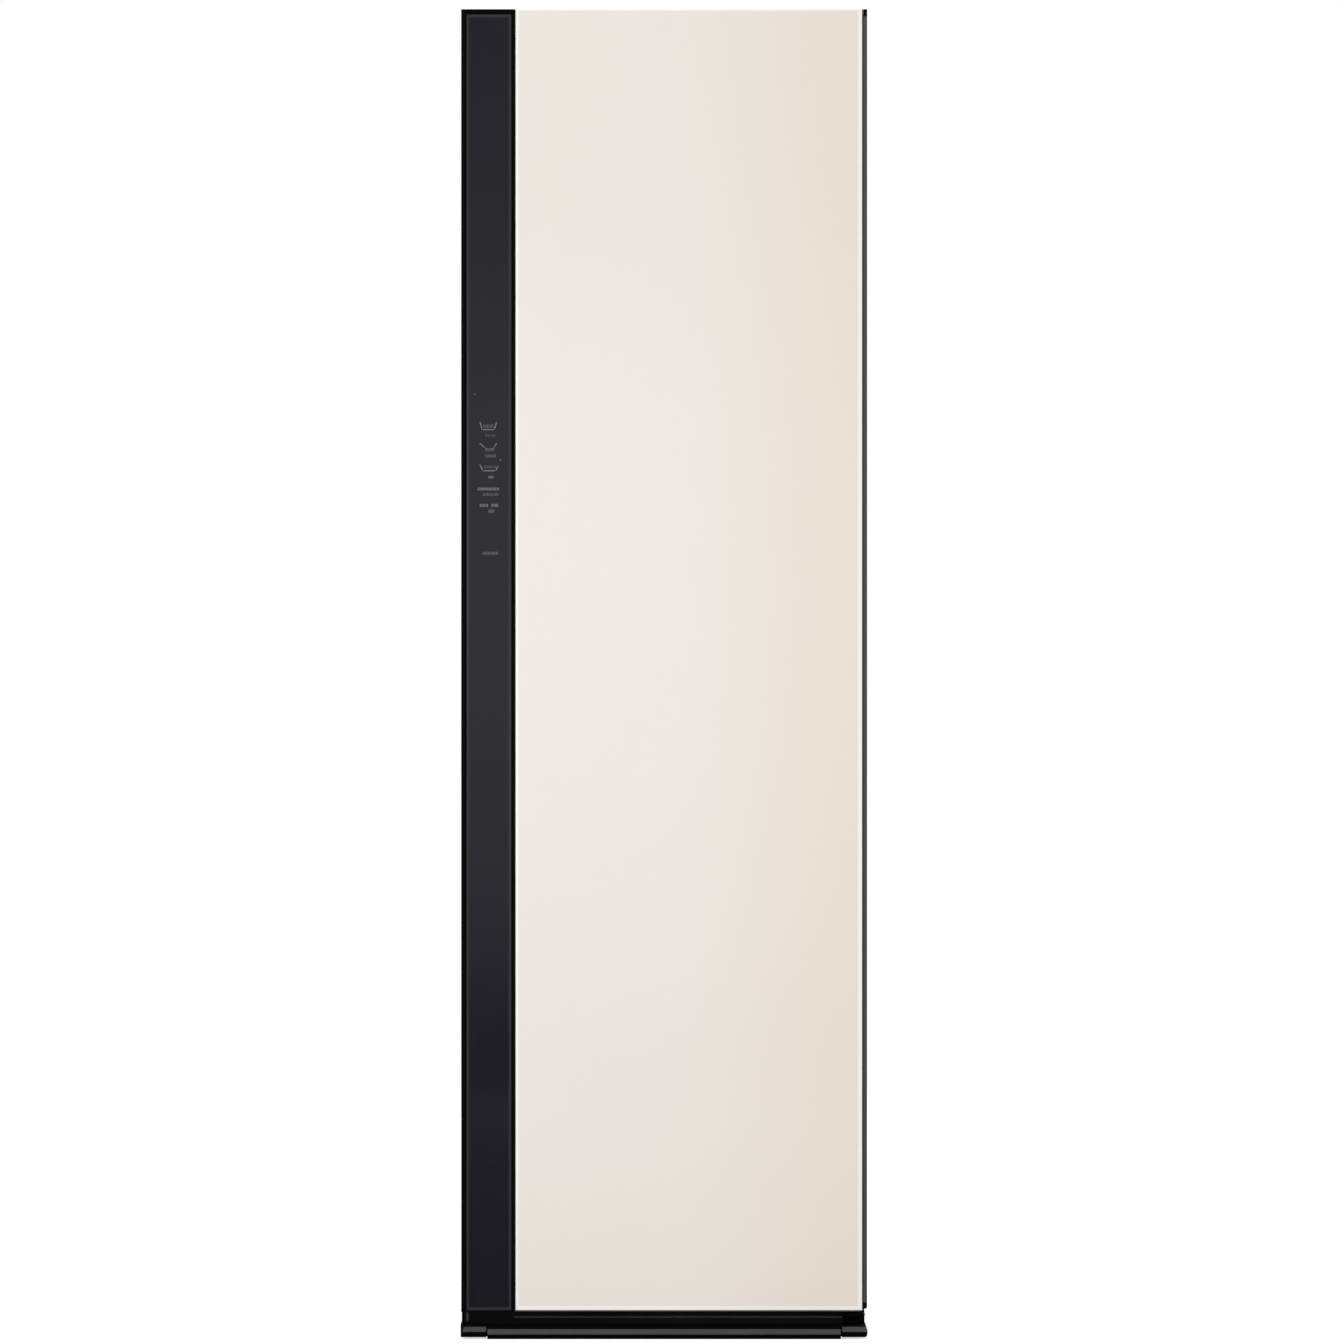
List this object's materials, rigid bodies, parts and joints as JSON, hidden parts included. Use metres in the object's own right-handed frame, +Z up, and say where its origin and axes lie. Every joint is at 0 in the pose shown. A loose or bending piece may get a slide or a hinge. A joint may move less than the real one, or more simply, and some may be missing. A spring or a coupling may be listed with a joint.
{
  "type": "clothes care steam cabinet",
  "caption": "Tall free-standing steam cabinet for clothes care, with a glass-fronted hinged door, a shaking hanger rack, a trouser press, pull-out water tanks and a heat pump in its base.",
  "frame": {"origin": "middle of the footprint, on the floor", "axes": "+X to the right seen from the front, the door faces -Y, +Z up"},
  "size_m": [0.6, 0.596, 1.96],
  "materials": {
    "black_plastic": "fine satin",
    "grey_plastic": "fine satin",
    "dark_steel": "powder coat",
    "zinc_steel": "zinc-plated sheet",
    "door_metal": "dark anodised",
    "beige_glass": "back-painted, gloss",
    "black_glass": "back-painted, gloss",
    "liner_plastic": "satin moulded",
    "white_plastic": "satin moulded",
    "tank_plastic": "smoked, translucent",
    "rubber": "soft",
    "lamp_plastic": "frosted",
    "coil_aluminium": "raw fins",
    "compressor_steel": "gloss enamel",
    "board": "solder mask",
    "press_board": "flocked face"
  },
  "bodies": {
    "cabinet": {"base_frame": "black_plastic", "plinth_cover": "grey_plastic", "base_corner_left": "grey_plastic", "base_corner_right": "grey_plastic", "side_panel_left": "dark_steel", "side_panel_right": "dark_steel", "back_panel": "zinc_steel", "top_panel": "dark_steel", "header_cover": "liner_plastic", "lower_cover": "liner_plastic", "power_inlet": "black_plastic", "liner_left": "liner_plastic", "liner_right": "liner_plastic", "liner_rear": "liner_plastic", "liner_ceiling": "liner_plastic", "liner_floor": "liner_plastic", "tank_tray": "liner_plastic", "lamp_lens": "lamp_plastic", "steam_nozzle": "white_plastic", "drive_bridge": "zinc_steel", "drive_belt": "rubber", "rack_motor": "zinc_steel", "evaporator": "coil_aluminium", "condenser": "coil_aluminium", "compressor": "compressor_steel", "fan_housing": "grey_plastic", "fan_motor": "zinc_steel", "steam_generator": "white_plastic", "control_box": "white_plastic", "hinge_top": "dark_steel", "hinge_bottom": "dark_steel", "hinge_cover": "black_plastic"},
    "door": {"door_glass": "beige_glass", "control_glass": "black_glass", "door_stile_grip": "door_metal", "door_stile_hinge": "door_metal", "door_rail_top": "grey_plastic", "door_rail_bottom": "grey_plastic", "door_liner": "liner_plastic", "door_gasket": "rubber", "touch_board": "board", "press_backboard": "press_board", "press_pin": "zinc_steel", "trouser_rail": "white_plastic"},
    "press": {"press_panel": "white_plastic"},
    "clamp": {"trouser_clamp": "grey_plastic"},
    "rack": {"hanger_rack": "white_plastic", "rack_carrier": "white_plastic"},
    "crank": {"crank_pulley": "white_plastic"},
    "pinion": {"motor_pulley": "white_plastic"},
    "fan": {"fan_impeller": "black_plastic"},
    "supply": {"supply_tank": "tank_plastic", "supply_tank_lid": "white_plastic"},
    "drain": {"drain_tank": "tank_plastic", "drain_tank_lid": "white_plastic"},
    "filter": {"lint_filter": "white_plastic"},
    "aroma": {"aroma_cassette": "white_plastic"},
    "shelf": {"shelf": "white_plastic"},
    "foot_left": {"foot_left": "rubber"},
    "foot_right": {"foot_right": "rubber"}
  },
  "joints": [
    {"name": "door_hinge", "type": "hinge", "parent": "cabinet", "child": "door", "pos_m": [0.28, -0.268, 0.05], "axis": [0, 0, 1], "range_deg": [0, 110]},
    {"name": "press_hinge", "type": "hinge", "parent": "door", "child": "press", "pos_m": [0.158, -0.2402, 0.85], "axis": [0, 0, -1], "range_deg": [0, 90]},
    {"name": "clamp_hinge", "type": "hinge", "parent": "door", "child": "clamp", "pos_m": [0, -0.2327, 1.65], "axis": [1, 0, 0], "range_deg": [0, 75]},
    {"name": "rack_slide", "type": "slide", "parent": "cabinet", "child": "rack", "axis": [1, 0, 0], "range_m": [-0.02, 0.02]},
    {"name": "crank_spin", "type": "hinge", "parent": "cabinet", "child": "crank", "pos_m": [0, -0.01, 1.86], "axis": [0, 0, 1], "continuous": true},
    {"name": "pinion_spin", "type": "hinge", "parent": "cabinet", "child": "pinion", "pos_m": [0.112, -0.01, 1.86], "axis": [0, 0, 1], "continuous": true},
    {"name": "fan_spin", "type": "hinge", "parent": "cabinet", "child": "fan", "pos_m": [-0.13, 0.1, 0.394], "axis": [0, 1, 0], "continuous": true},
    {"name": "supply_tank_slide", "type": "slide", "parent": "cabinet", "child": "supply", "axis": [0, -1, 0], "range_m": [0, 0.045]},
    {"name": "drain_tank_slide", "type": "slide", "parent": "cabinet", "child": "drain", "axis": [0, -1, 0], "range_m": [0, 0.045]},
    {"name": "filter_lift", "type": "slide", "parent": "cabinet", "child": "filter", "axis": [0, 0, 1], "range_m": [0, 0.06]},
    {"name": "aroma_lift", "type": "slide", "parent": "cabinet", "child": "aroma", "axis": [0, 0, 1], "range_m": [0, 0.06]},
    {"name": "shelf_lift", "type": "slide", "parent": "cabinet", "child": "shelf", "axis": [0, 0, 1], "range_m": [0, 0.15]},
    {"name": "foot_left_turn", "type": "hinge", "parent": "cabinet", "child": "foot_left", "pos_m": [-0.25, -0.2317, 0.01], "axis": [0, 0, 1], "continuous": true},
    {"name": "foot_right_turn", "type": "hinge", "parent": "cabinet", "child": "foot_right", "pos_m": [0.25, -0.2317, 0.01], "axis": [0, 0, 1], "continuous": true}
  ],
  "couplings": [
    {"joint": "pinion_spin", "follows": "crank_spin", "ratio": 3.3333}
  ]
}
